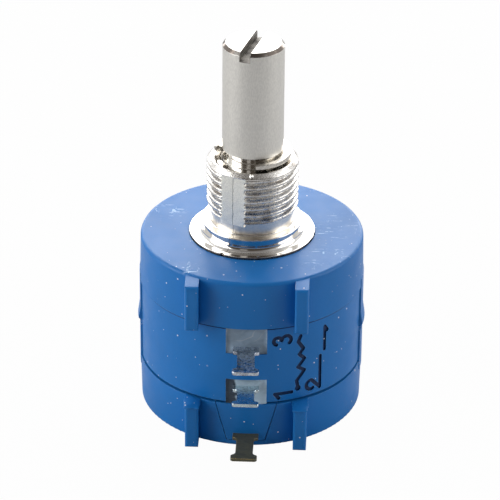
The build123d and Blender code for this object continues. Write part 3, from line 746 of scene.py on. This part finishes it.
@dataclass
class Bushing:
    """The threaded bushing: flange, boss, neck and a barrel with a rolled thread and two cast flats."""

    bore: float = 3.02
    low: float = 15.8
    seat: float = 16.0
    lip: float = 5.6
    boss: float = 5.0
    flange: float = 6.2
    flange_low: float = 17.32
    flange_top: float = 18.42
    boss_top: float = 19.7
    neck: float = 4.15
    neck_top: float = 21.08
    crest: float = 4.5
    valley: float = 4.08
    pitch: float = 0.75
    top: float = 26.45
    chamfer: float = 0.4
    flat: float = 4.27
    flat_deg: float = -114.0
    flat_half_deg: float = 17.6
    flat_ledge: float = 0.45
    run_out: float = 0.36
    burr_deg: float = -89.0
    columns: int = 440

    def build(self) -> None:
        """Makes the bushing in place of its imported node."""
        section, thread_rows = self.section()
        angles = np.radians(-90 + 360 * np.arange(self.columns) / self.columns)
        points = []
        for row, (radius, height) in enumerate(section):
            radii = np.full(self.columns, radius)
            if row in thread_rows:
                radii = self.barrel(angles, height)
            level = np.full(self.columns, height)
            points.append(np.column_stack([radii * np.cos(angles), radii * np.sin(angles), level]))
        grid = np.vstack(points)
        self.wear_down(grid, section, thread_rows)
        piece = mesh_piece("bushing_cast", grid, ring_faces(len(section), self.columns, True, True), 50)
        self.dress(piece)
        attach(piece, Body.HOUSING.value)
        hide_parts("bushing")
        LOG.info("built bushing_cast with %d faces", len(piece.data.polygons))

    def section(self) -> tuple[list, range]:
        """The half section as a closed loop.

        Returns:
            Pairs of radius and height, and which of them are the thread's.
        """
        points = run((self.bore, self.low), (self.lip, self.low), 3)
        points += run((self.lip, self.low), (self.lip, self.seat), 1)
        points += run((self.lip, self.seat), (self.boss, self.seat), 1)
        points += run((self.boss, self.seat), (self.boss, self.flange_low), 2)
        points += run((self.boss, self.flange_low), (self.flange, self.flange_low), 2)
        points += run((self.flange, self.flange_low), (self.flange, self.flange_top - 0.06), 5)
        points += arc((self.flange - 0.06, self.flange_top - 0.06), 0.06, 0, 90, 6)
        points += run((self.flange - 0.06, self.flange_top), (self.boss + 0.5, self.flange_top), 8)
        points += arc((self.boss + 0.5, self.flange_top + 0.5), 0.5, 270, 180, 12)
        points += run((self.boss, self.flange_top + 0.5), (self.boss, self.boss_top - 0.1), 6)
        points += arc((self.boss - 0.1, self.boss_top - 0.1), 0.1, 0, 90, 4)
        points += run((self.boss - 0.1, self.boss_top), (self.neck + 0.12, self.boss_top), 4)
        points += arc((self.neck + 0.12, self.boss_top + 0.12), 0.12, 270, 180, 4)
        points += run((self.neck, self.boss_top + 0.12), (self.neck, self.neck_top - 0.4), 8)
        first = len(points)
        points += run((self.neck, self.neck_top - 0.4), (self.neck, self.top), 124)
        thread_rows = range(first, len(points))
        points += run((self.crest - self.chamfer, self.top), (self.bore + 0.1, self.top), 6)
        points += run((self.bore + 0.1, self.top), (self.bore, self.top - 0.1), 1)
        points += run((self.bore, self.top - 0.1), (self.bore, self.low), 8)
        return points, thread_rows

    def barrel(self, angles: np.ndarray, height: float) -> np.ndarray:
        """Radii of the threaded barrel round one height.

        Args:
            angles: The directions of the points.
            height: Their height.

        Returns:
            One radius for each point.
        """
        turn = (height - self.neck_top) / self.pitch - angles / (2 * math.pi)
        wave = 1 - np.abs(2 * (turn % 1.0) - 1)
        radii = self.valley + (self.crest - self.valley) * smooth((wave - 0.14) / 0.6)
        radii = self.neck + (radii - self.neck) * smooth((height - self.neck_top + 0.15) / 0.5)
        top_ring = smooth((height - (self.top - 0.62)) / 0.12)
        radii = radii + (self.crest - 0.03 - radii) * top_ring
        radii = np.minimum(radii, self.crest - np.maximum(height - (self.top - self.chamfer), 0.0))
        ledge = self.top - self.flat_ledge
        if height < ledge + 0.04:
            for direction in (self.flat_deg, self.flat_deg + 180):
                offset = (np.degrees(angles) - direction + 180) % 360 - 180
                jag = noise.noise(Vector((height, math.copysign(5.0, offset[0]), 0.0)) * 2.6)
                inside = smooth((self.flat_half_deg + 1.6 * jag - np.abs(offset)) / 1.6)
                face = self.flat / np.cos(np.radians(np.clip(offset, -40, 40)))
                inside = inside * smooth((ledge + 0.04 - height) / 0.06)
                inside = inside * smooth((height - self.neck_top + self.run_out) / 0.06)
                radii = radii + (np.minimum(face, self.crest) - radii) * inside
        return radii

    def wear_down(self, grid: np.ndarray, section: list, thread_rows: range) -> None:
        """Makes the crests uneven, nicks the flange's rim and raises a burr at the top.

        Args:
            grid: The points, changed in place.
            section: The half section; not used.
            thread_rows: Which rows are the thread's.
        """
        first, last = thread_rows.start * self.columns, thread_rows.stop * self.columns
        rough = 0.012 * cloud(grid[first:last], 2.2, 3.0) + 0.007 * cloud(grid[first:last], 6.5, 9.0)
        radius = np.linalg.norm(grid[first:last, :2], axis=1)
        share = smooth((radius - self.neck) / 0.12)
        grid[first:last, :2] *= (1 + rough * share / radius)[:, None]
        angles = np.degrees(np.arctan2(grid[:, 1], grid[:, 0]))
        radius = np.linalg.norm(grid[:, :2], axis=1)
        height = grid[:, 2]
        rim = (height > self.flange_low + 0.5) & (height < self.flange_top + 0.05)
        rim &= radius > self.flange - 0.3
        jagged = cloud(np.column_stack([grid[rim, :2], np.zeros(rim.sum())]), 1.6, 5.0)
        grid[rim, :2] *= (1 + 0.008 * np.minimum(jagged, 0.2))[:, None]
        for direction, depth in ((-116.0, 0.16), (-82.0, 0.06), (-60.0, 0.05)):
            nick = np.exp(-(((angles - direction) / 1.6) ** 2)) * rim * depth
            grid[:, :2] *= (1 - nick / radius)[:, None]
            grid[:, 2] -= nick * 0.5
        burr = np.exp(-(((angles - self.burr_deg) / 1.5) ** 2))
        burr *= np.exp(-(((grid[:, 2] - (self.top - 0.12)) / 0.12) ** 2))
        burr *= radius > self.crest - 0.5
        grid[:, :2] *= (1 + 0.16 * burr / radius)[:, None]
        grid[:, 2] += 0.1 * burr

    def dress(self, piece: bpy.types.Object) -> None:
        """Polished flange and boss, grainy thread, dull cast flats and neck, and a rim painted dark as shade.

        Args:
            piece: The bushing.
        """
        nickel = (0.74, 0.72, 0.69)
        stain = (0.3, 0.25, 0.2)
        finishes = (
            CastNickel("nickel_polished", nickel, (0.05, 0.12), (0.6, 0.6, 0.6), 0.002, 0.05),
            CastNickel("nickel_thread", nickel, (0.16, 0.34), (0.1, 0.1, 0.06), 0.012, 0.2, stain, 0.5),
            CastNickel("nickel_cast", (0.9, 0.885, 0.82), (0.4, 0.55), (0.09, 0.09, 0.09), 0.014, 0.12),
            CastNickel("nickel_neck", (0.88, 0.82, 0.72), (0.3, 0.44), (0.2, 0.2, 0.2), 0.003, 0.06),
            CastNickel("nickel_rim_painted_shade", (0.17, 0.145, 0.13), (0.25, 0.4), (0.1, 0.1, 0.1), 0.01, 0.5),
        )
        for finish in finishes:
            piece.data.materials.append(finish.build())
        count = len(piece.data.polygons)
        centres = np.empty(count * 3)
        piece.data.polygons.foreach_get("center", centres)
        centres = centres.reshape(-1, 3) / MM
        angles = np.degrees(np.arctan2(centres[:, 1], centres[:, 0]))
        offset = np.abs((angles - self.flat_deg + 90) % 180 - 90)
        radius = np.linalg.norm(centres[:, :2], axis=1)
        barrel = (centres[:, 2] > self.neck_top - 0.1) & (radius > self.valley - 0.1)
        neck = (centres[:, 2] > self.boss_top + 0.1) & ~barrel & (radius > self.neck - 0.05)
        kinds = np.full(count, Plate.POLISHED.value)
        kinds[barrel] = Plate.THREAD.value
        face = np.abs(radius * np.cos(np.radians(offset)) - self.flat) < 0.035
        kinds[neck] = Plate.NECK.value
        kinds[(radius > self.flange - 0.16) & (centres[:, 2] < self.flange_top - 0.02)] = Plate.RIM.value
        low, high = self.neck_top - self.run_out, self.top - self.flat_ledge + 0.02
        tall = (centres[:, 2] > low) & (centres[:, 2] < high)
        kinds[tall & (offset < self.flat_half_deg + 1.5) & face] = Plate.CAST.value
        piece.data.polygons.foreach_set("material_index", kinds.tolist())


@dataclass
class Shaft:
    """The slotted shaft and the open clip in its groove."""

    clip_inner: float = 2.62
    clip_outer: float = 3.8
    clip_low: float = 26.72
    clip_thickness: float = 0.5
    clip_start_deg: float = -83.0
    clip_span_deg: float = 258.5
    columns: int = 150

    def build(self) -> None:
        """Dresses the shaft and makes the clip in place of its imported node."""
        satin = (0.775, 0.757, 0.715)
        finish = ShaftMetal("shaft_satin", satin, (0.3, 0.42), (0.1, 0.1, 0.3), 0.005, 0.07, edge_mm=0.06)
        dress_node("shaft", finish.build())
        clip = self.clip()
        grey = (0.66, 0.63, 0.58)
        steel = Metal("clip_steel", grey, (0.16, 0.3), (0.3, 0.3, 0.12), 0.006, 0.15, stained=0.25)
        clip.data.materials.append(steel.build())
        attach(clip, Body.ROTOR.value)
        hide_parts("retaining_clip")
        LOG.info("built %s", clip.name)

    def clip(self) -> bpy.types.Object:
        """The clip: a stamped open ring with rounded edges and one end turned up.

        Returns:
            The new object.
        """
        low, high, edge = self.clip_low, self.clip_low + self.clip_thickness, 0.07
        inner, outer = self.clip_inner, self.clip_outer
        section = arc((outer - edge, low + edge), edge, -90, 0, 3) + [(outer, low + edge)]
        section += arc((outer - edge, high - edge), edge, 0, 90, 3) + [(outer - edge, high)]
        section += run((outer - edge, high), (inner + edge, high), 3)[1:]
        section += arc((inner + edge, high - edge), edge, 90, 180, 3)
        section += [(inner, high - edge)] + arc((inner + edge, low + edge), edge, 180, 270, 3)
        section += run((inner + edge, low), (outer - edge, low), 3)
        angles = np.radians(self.clip_start_deg + self.clip_span_deg * np.linspace(0, 1, self.columns))
        points = [(r * math.cos(a), r * math.sin(a), z) for a in angles for r, z in section]
        count = len(section)
        faces = ring_faces(self.columns, count, False, True)
        faces += [list(range(count)), list(range((self.columns - 1) * count, self.columns * count))]
        grid = np.array(points)
        lug, lug_faces = self.lug(len(grid))
        return mesh_piece("clip_stamped", np.vstack([grid, lug]), faces + lug_faces, 50)

    def lug(self, start: int) -> tuple[np.ndarray, list]:
        """The turned-up end of the clip: a small flat ear that curls outwards.

        Args:
            start: The first point's number.

        Returns:
            The points in millimetres and the faces.
        """
        path = [(-3.2, 0.45, 26.95), (-3.36, 0.2, 26.85), (-3.52, 0.0, 26.98), (-3.56, -0.1, 27.22)]
        path += [(-3.5, -0.14, 27.44), (-3.36, -0.16, 27.54), (-3.24, -0.16, 27.46)]
        line = [Vector(point) for point in path]
        around, rows = 12, []
        for index, point in enumerate(line):
            ahead = (line[min(index + 1, len(line) - 1)] - line[max(index - 1, 0)]).normalized()
            side = ahead.cross(Vector((0.3, 0.95, 0.0))).normalized()
            other = ahead.cross(side)
            size = 0.13 if index < len(line) - 1 else 0.08
            for step in range(around):
                angle = 2 * math.pi * step / around
                rows.append(point + side * size * math.cos(angle) + other * size * 1.5 * math.sin(angle))
        faces = ring_faces(len(line), around, False, True, start)
        last = start + (len(line) - 1) * around
        faces += [list(range(start, start + around)), list(range(last, last + around))]
        return np.array([tuple(point) for point in rows]), faces


@dataclass
class Terminal:
    """One flat terminal with a waist, a cross bar at its end and worn or soldered faces."""

    name: str
    node: str
    height: float
    inner: float
    finish: Metal
    bend_deg: float = 0.0
    rough_mm: float = 0.0
    solder_mm: float = 0.0
    sway_mm: float = 0.0
    thickness: float = 0.3
    reach: float = 15.7
    end_length: float = 0.8
    end_half: float = 1.29
    neck_half: float = 0.85
    base_half: float = 1.275
    shoulder: float = 11.85
    bend_place: float = 11.0
    seed: float = 1.0

    def build(self) -> None:
        """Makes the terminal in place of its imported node."""
        piece = self.strip()
        piece.data.materials.append(self.finish.build())
        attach(piece, Body.HOUSING.value)
        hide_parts(self.node)
        LOG.info("built %s", self.name)

    def widths(self) -> list:
        """Half widths along the strip, as pairs of place and half width."""
        base, neck, end = self.base_half, self.neck_half, self.end_half
        bar = self.reach - self.end_length
        rows = [(d, base) for d in np.linspace(self.inner, self.shoulder - 0.1, 14)]
        out = self.shoulder
        rows += [(out - 0.04, base - 0.02), (out, base - 0.07), (out + 0.02, base - 0.16)]
        rows += [(out + 0.04, neck + 0.2), (out + 0.1, neck + 0.1), (out + 0.22, neck + 0.02)]
        rows += [(d, neck) for d in np.linspace(out + 0.35, bar - 0.4, 34)]
        rows += [(bar - 0.28, neck + 0.03), (bar - 0.16, neck + 0.09)]
        rows += [(bar - 0.06, neck + 0.18), (bar - 0.01, neck + 0.28)]
        rows += [(bar + 0.03, end - 0.1), (bar + 0.09, end - 0.03), (bar + 0.17, end)]
        rows += [(d, end) for d in np.linspace(bar + 0.25, self.reach - 0.2, 7)]
        tip = self.reach
        rows += [(tip - 0.12, end - 0.02), (tip - 0.06, end - 0.07), (tip - 0.02, end - 0.14)]
        return rows + [(tip, end - 0.24)]

    def strip(self) -> bpy.types.Object:
        """The strip's mesh.

        Returns:
            The new object.
        """
        across = 15
        loops = []
        for place, half in self.widths():
            thick = self.thickness / 2
            swell = self.solder_mm * smooth((place - (self.reach - 1.0)) / 0.5)
            swell += self.solder_mm * 0.7 * math.exp(-(((place - self.shoulder) / 0.25) ** 2))
            thick += swell / 2
            edge = min(0.05 + swell / 3, thick * 0.8)
            top = [(x, thick) for x in np.linspace(-(half - edge), half - edge, across)]
            right = arc((half - edge, thick - edge), edge, 60, -0.1, 2)
            right += arc((half - edge, -thick + edge), edge, 0, -60, 2)
            low = [(x, -thick) for x in np.linspace(half - edge, -(half - edge), across)]
            left = arc((-half + edge, -thick + edge), edge, 240, 180, 2)
            left += arc((-half + edge, thick - edge), edge, 180, 120, 2)
            loops.append([(x, -place, self.height + z) for x, z in top + right + low + left])
        count = len(loops[0])
        points = np.array([point for loop in loops for point in loop])
        if self.rough_mm:
            lumps = cloud(points, 1.7, self.seed) + 0.6 * cloud(points, 4.2, self.seed + 4)
            away = np.sign(points[:, 2] - self.height)
            free = smooth((-points[:, 1] - 11.0) / 0.5)
            points[:, 2] += away * lumps * self.rough_mm * free
            tip = points[:, 1] < 0.2 - self.reach
            points[:, 1] -= cloud(points, 2.4, self.seed + 8) * self.rough_mm * tip
        free_length = self.reach - self.bend_place
        points[:, 0] += self.sway_mm * smooth((-points[:, 1] - self.bend_place) / free_length)
        if self.bend_deg:
            self.bend(points)
        faces = ring_faces(len(loops), count, False, True)
        faces += [list(range(count)), list(range((len(loops) - 1) * count, len(loops) * count))]
        return mesh_piece(self.name, points, faces, 42)

    def bend(self, points: np.ndarray) -> None:
        """Bends the outer stretch up about a line across the strip, changing the points in place."""
        out = -points[:, 1] - self.bend_place
        share = smooth((out + 0.15) / 0.3)
        angle = math.radians(self.bend_deg)
        y, z = points[:, 1] + self.bend_place, points[:, 2] - self.height
        turned_y = y * math.cos(angle) + z * math.sin(angle)
        turned_z = -y * math.sin(angle) + z * math.cos(angle)
        points[:, 1] += (turned_y - y) * share
        points[:, 2] += (turned_z - z) * share


@dataclass
class Potting:
    """Resin poured round a terminal in one window of the housing."""

    name: str
    node: str
    low: float
    high: float
    terminal_height: float
    finish: PottingResin
    seed: float
    half_width: float = 2.0
    face: float = 10.8
    back: float = 9.25
    columns: int = 60
    rows: int = 44

    def build(self) -> None:
        """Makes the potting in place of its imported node."""
        xs = np.linspace(-self.half_width, self.half_width, self.columns)
        zs = np.linspace(self.low, self.high, self.rows)
        x, z = (a.ravel() for a in np.meshgrid(xs, zs))
        wall = np.minimum(self.half_width - np.abs(x), np.minimum(z - self.low, self.high - z))
        creep = 0.14 * np.exp(-wall / 0.12)
        lift = 0.16 * np.exp(-(((z - self.terminal_height) / 0.35) ** 2)) * smooth((1.7 - np.abs(x)) / 0.5)
        lumps = 0.05 * cloud(np.column_stack([x, np.zeros(len(x)), z]), 0.9, self.seed)
        lumps += 0.02 * cloud(np.column_stack([x, np.zeros(len(x)), z]), 3.0, self.seed + 3)
        out = self.face + creep + lift + lumps * smooth(wall / 0.2) - 0.05
        front = np.column_stack([x, -np.sqrt(out**2 - x**2), z])
        behind = np.column_stack([x, np.full(len(x), -self.back), z])
        count = len(x)
        faces = ring_faces(self.rows, self.columns, False, False)
        faces += ring_faces(self.rows, self.columns, False, False, count)
        border = list(range(self.columns))
        border += [r * self.columns + self.columns - 1 for r in range(1, self.rows)]
        border += [(self.rows - 1) * self.columns + c for c in range(self.columns - 2, -1, -1)]
        border += [r * self.columns for r in range(self.rows - 2, 0, -1)]
        for here, there in zip(border, border[1:] + border[:1]):
            faces.append([here, there, there + count, here + count])
        piece = mesh_piece(self.name, np.vstack([front, behind]), faces, 40)
        piece.data.materials.append(self.finish.build())
        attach(piece, Body.HOUSING.value)
        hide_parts(self.node)
        LOG.info("built %s", self.name)


@dataclass
class Workings:
    """The parts inside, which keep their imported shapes."""

    def build(self) -> None:
        """Dresses every part inside."""
        colours = {
            "spring_bronze": (0.7, 0.5, 0.3),
            "bare_brass_inside": (0.72, 0.58, 0.34),
            "spring_steel": (0.6, 0.6, 0.6),
        }
        grains = (0.3, 0.3, 0.3), (0.3, 0.3, 0.3), (0.2, 0.2, 0.2)
        bronze, brass, steel = (
            Metal(name, colour, (0.2, 0.35), grain, 0.004, 0.1, edge_mm=0.03).build()
            for (name, colour), grain in zip(colours.items(), grains)
        )
        tinned = Metal("tinned_lead", (0.7, 0.7, 0.7), (0.25, 0.4), (0.2, 0.2, 0.2), 0.01, 0.1).build()
        dress_node("resistance_element", WoundWire().build())
        for node in ("lower_tap", "upper_tap"):
            dress_node(node, tinned)
        for node in ("slip_ring_brush", "wiper", "collector_contact"):
            dress_node(node, bronze)
        for node in ("slip_ring", "collector_bar"):
            dress_node(node, brass)
        dress_node("thrust_washer", steel)
        dress_node("rotor", PlainPlastic("black_moulding", (0.012, 0.012, 0.013)).build())
        dress_node("carriage", PlainPlastic("white_moulding", (0.6, 0.59, 0.55), 0.35).build())


# --------------------------------------------------------------------------- studio and view


@dataclass
class Studio:
    """A pale floor, a white surround and soft lamps behind and beside the part."""

    floor_half_m: float = 0.9
    floor_colour: Colour = (0.56, 0.56, 0.56)
    camera_white: float = 0.975
    dark_front: Colour = (0.075, 0.062, 0.052)
    fill: Colour = (0.47, 0.47, 0.48)
    front_share: float = 0.4

    def build(self) -> None:
        """Makes the floor, the surround and the lamps."""
        bpy.context.scene.view_settings.view_transform = "Standard"
        self.floor()
        self.surround()
        self.lamp("softbox_back", (0.0, 0.34, 0.2), (0.62, 0.34), 2.9, (1.0, 1.0, 1.0))
        self.lamp("softbox_left", (-0.33, -0.09, 0.13), (0.3, 0.36), 3.0, (1.0, 0.995, 0.98))
        self.lamp("softbox_right", (0.36, -0.03, 0.13), (0.26, 0.34), 2.0, (1.0, 0.995, 0.98))
        self.lamp("softbox_front", (-0.12, -0.42, 0.3), (0.12, 0.12), 0.5, (1.0, 1.0, 1.0))

    def floor(self) -> None:
        """A pale floor under the part, which keeps a faint shadow."""
        half = self.floor_half_m / MM
        points = np.array([(-half, -half, 0.0), (half, -half, 0.0), (half, half, 0.0), (-half, half, 0.0)])
        mesh = bpy.data.meshes.new("floor")
        mesh.from_pydata((points * MM).tolist(), [], [[0, 1, 2, 3]])
        floor = bpy.data.objects.new("floor", mesh)
        bpy.context.scene.collection.objects.link(floor)
        material = bpy.data.materials.new("floor_paper")
        material.use_nodes = True
        tree = material.node_tree
        tree.nodes.clear()
        paper = tree.nodes.new("ShaderNodeBsdfDiffuse")
        paper.inputs["Color"].default_value = (*self.floor_colour, 1.0)
        glow = tree.nodes.new("ShaderNodeEmission")
        glow.inputs["Strength"].default_value = 1.0
        rays = tree.nodes.new("ShaderNodeLightPath")
        share = tree.nodes.new("ShaderNodeMath")
        share.operation = "MULTIPLY"
        share.inputs[1].default_value = self.camera_white
        mix = tree.nodes.new("ShaderNodeMixShader")
        output = tree.nodes.new("ShaderNodeOutputMaterial")
        tree.links.new(rays.outputs["Is Camera Ray"], share.inputs[0])
        tree.links.new(share.outputs[0], mix.inputs[0])
        tree.links.new(paper.outputs[0], mix.inputs[1])
        tree.links.new(glow.outputs[0], mix.inputs[2])
        tree.links.new(mix.outputs[0], output.inputs["Surface"])
        mesh.materials.append(material)

    def surround(self) -> None:
        """White behind the part, with a dim brown quarter in front for the metal to show."""
        world = bpy.data.worlds.new("surround")
        bpy.context.scene.world = world
        world.use_nodes = True
        tree = world.node_tree
        tree.nodes.clear()
        coordinates = tree.nodes.new("ShaderNodeTexCoord")
        parts = tree.nodes.new("ShaderNodeSeparateXYZ")
        tree.links.new(coordinates.outputs["Generated"], parts.inputs[0])
        front = tree.nodes.new("ShaderNodeMapRange")
        front.interpolation_type = "SMOOTHSTEP"
        front.inputs[1].default_value, front.inputs[2].default_value = -0.8, 0.05
        tree.links.new(parts.outputs[1], front.inputs[0])
        above = tree.nodes.new("ShaderNodeMapRange")
        above.interpolation_type = "SMOOTHSTEP"
        above.inputs[1].default_value, above.inputs[2].default_value = 0.72, 0.97
        above.inputs[3].default_value, above.inputs[4].default_value = 1.0, 0.25
        tree.links.new(parts.outputs[2], above.inputs[0])
        share = tree.nodes.new("ShaderNodeMath")
        share.operation = "MULTIPLY"
        tree.links.new(front.outputs[0], share.inputs[0])
        tree.links.new(above.outputs[0], share.inputs[1])
        room = self.mixed(tree, share.outputs[0], self.dark_front, (1.0, 1.0, 1.0))
        dim = tuple(part * self.front_share for part in self.fill)
        ambient = self.mixed(tree, share.outputs[0], dim, self.fill)
        rays = tree.nodes.new("ShaderNodeLightPath")
        seen = tree.nodes.new("ShaderNodeMath")
        seen.operation = "MAXIMUM"
        tree.links.new(rays.outputs["Is Camera Ray"], seen.inputs[0])
        tree.links.new(rays.outputs["Is Transmission Ray"], seen.inputs[1])
        lit = self.mixed(tree, rays.outputs["Is Glossy Ray"], ambient, room)
        colour = self.mixed(tree, seen.outputs[0], lit, (1.0, 1.0, 1.0))
        background = tree.nodes.new("ShaderNodeBackground")
        output = tree.nodes.new("ShaderNodeOutputWorld")
        tree.links.new(colour, background.inputs["Color"])
        tree.links.new(background.outputs[0], output.inputs["Surface"])

    def mixed(
        self, tree: bpy.types.NodeTree, share: Socket, first: Socket | Colour, second: Socket | Colour
    ) -> Socket:
        """A colour between two others in the surround.

        Args:
            tree: The surround's nodes.
            share: How much of the second there is.
            first: The first colour.
            second: The second colour.

        Returns:
            The mixed colour's socket.
        """
        node = tree.nodes.new("ShaderNodeMix")
        node.data_type = "RGBA"
        tree.links.new(share, node.inputs[0])
        for index, value in ((6, first), (7, second)):
            if isinstance(value, bpy.types.NodeSocket):
                tree.links.new(value, node.inputs[index])
            else:
                node.inputs[index].default_value = (*value, 1.0)
        return node.outputs[2]

    def lamp(
        self, name: str, place: Colour, size: tuple[float, float], brightness: float, colour: Colour
    ) -> None:
        """A rectangular soft lamp that faces the middle of the part.

        Args:
            name: The lamp's name.
            place: Where it stands, in metres.
            size: Its width and height in metres.
            brightness: How bright its face looks, where 1 is white.
            colour: Its colour.
        """
        data = bpy.data.lights.new(name, "AREA")
        data.shape = "RECTANGLE"
        data.size, data.size_y = size
        data.energy = brightness * math.pi * size[0] * size[1]
        data.color = colour
        lamp = bpy.data.objects.new(name, data)
        bpy.context.scene.collection.objects.link(lamp)
        lamp.location = place
        aim = Vector((0.0, 0.0, 0.018)) - Vector(place)
        lamp.rotation_euler = aim.to_track_quat("-Z", "Y").to_euler()


@dataclass
class Viewpoint:
    """The camera, a long lens that looks down at the terminals' side."""

    azimuth_deg: float = -87.6
    elevation_deg: float = 28.7
    roll_deg: float = 0.5
    distance_mm: float = 303.0
    target_mm: tuple[float, float] = (-0.19, 15.92)
    lens_mm: float = 220.0

    def build(self) -> None:
        """Makes the camera and gives it to the scene."""
        data = bpy.data.cameras.new("camera")
        data.lens = self.lens_mm
        data.sensor_width = 36.0
        data.clip_start, data.clip_end = 0.01, 10.0
        camera = bpy.data.objects.new("camera", data)
        bpy.context.scene.collection.objects.link(camera)
        turn = math.radians(self.azimuth_deg)
        out = Vector((math.cos(turn), math.sin(turn), 0.0))
        right = Vector((-out.y, out.x, 0.0))
        across, height = self.target_mm
        target = (right * across + Vector((0.0, 0.0, height))) * MM
        rise = math.radians(self.elevation_deg)
        back = out * math.cos(rise) + Vector((0.0, 0.0, math.sin(rise)))
        basis = back.to_track_quat("Z", "Y").to_matrix().to_4x4()
        roll = Matrix.Rotation(math.radians(self.roll_deg), 4, "Z")
        camera.matrix_world = Matrix.Translation(target + back * self.distance_mm * MM) @ basis @ roll
        bpy.context.scene.camera = camera


def main() -> None:
    """Builds every sub-assembly in order."""
    logging.basicConfig(level=logging.INFO, format="%(message)s")
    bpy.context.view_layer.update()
    solder = Metal(
        "solder_tin", (0.62, 0.66, 0.72), (0.16, 0.4), (0.3, 0.3, 0.3), 0.03, 0.25,
        stain=(0.1, 0.12, 0.16), stained=0.6, edge_mm=0.04, edge_colour=(0.85, 0.86, 0.86),
    )
    tinned = Metal(
        "tinned_strip", (0.62, 0.72, 0.76), (0.22, 0.32), (0.6, 0.6, 0.6), 0.003, 0.08,
        stain=(0.3, 0.38, 0.46), stained=0.4, edge_mm=0.04, edge_colour=(0.88, 0.86, 0.8),
    )
    brass = Metal(
        "tarnished_brass", (0.125, 0.118, 0.075), (0.3, 0.42), (0.5, 0.25, 0.5), 0.004, 0.15,
        stain=(0.08, 0.08, 0.055), stained=0.5, edge_mm=0.09, edge_colour=(0.85, 0.62, 0.25), metallic=0.45,
    )
    Shells().build()
    Bushing().build()
    Shaft().build()
    Terminal(
        "terminal_1_tinned", "terminal_1", 6.6, 9.55, tinned,
        bend_deg=10.0, rough_mm=0.006, solder_mm=0.02, sway_mm=0.11, seed=2.0,
    ).build()
    Terminal("terminal_2_brass", "terminal_2", 1.25, 7.0, brass, seed=3.0).build()
    Terminal(
        "terminal_3_soldered", "terminal_3", 10.99, 9.55, solder,
        rough_mm=0.028, solder_mm=0.05, sway_mm=0.12, seed=5.0,
    ).build()
    Potting("upper_resin", "upper_potting", 10.37, 13.2, 10.99, PottingResin("resin_upper"), 4.0).build()
    dark_resin = PottingResin("resin_lower", (0.38, 0.5, 0.6), dark_side_mm=-1.15)
    Potting("lower_resin", "lower_potting", 4.7, 7.5, 6.6, dark_resin, 11.0).build()
    Workings().build()
    Studio().build()
    Viewpoint().build()


if __name__ == "__main__":
    main()
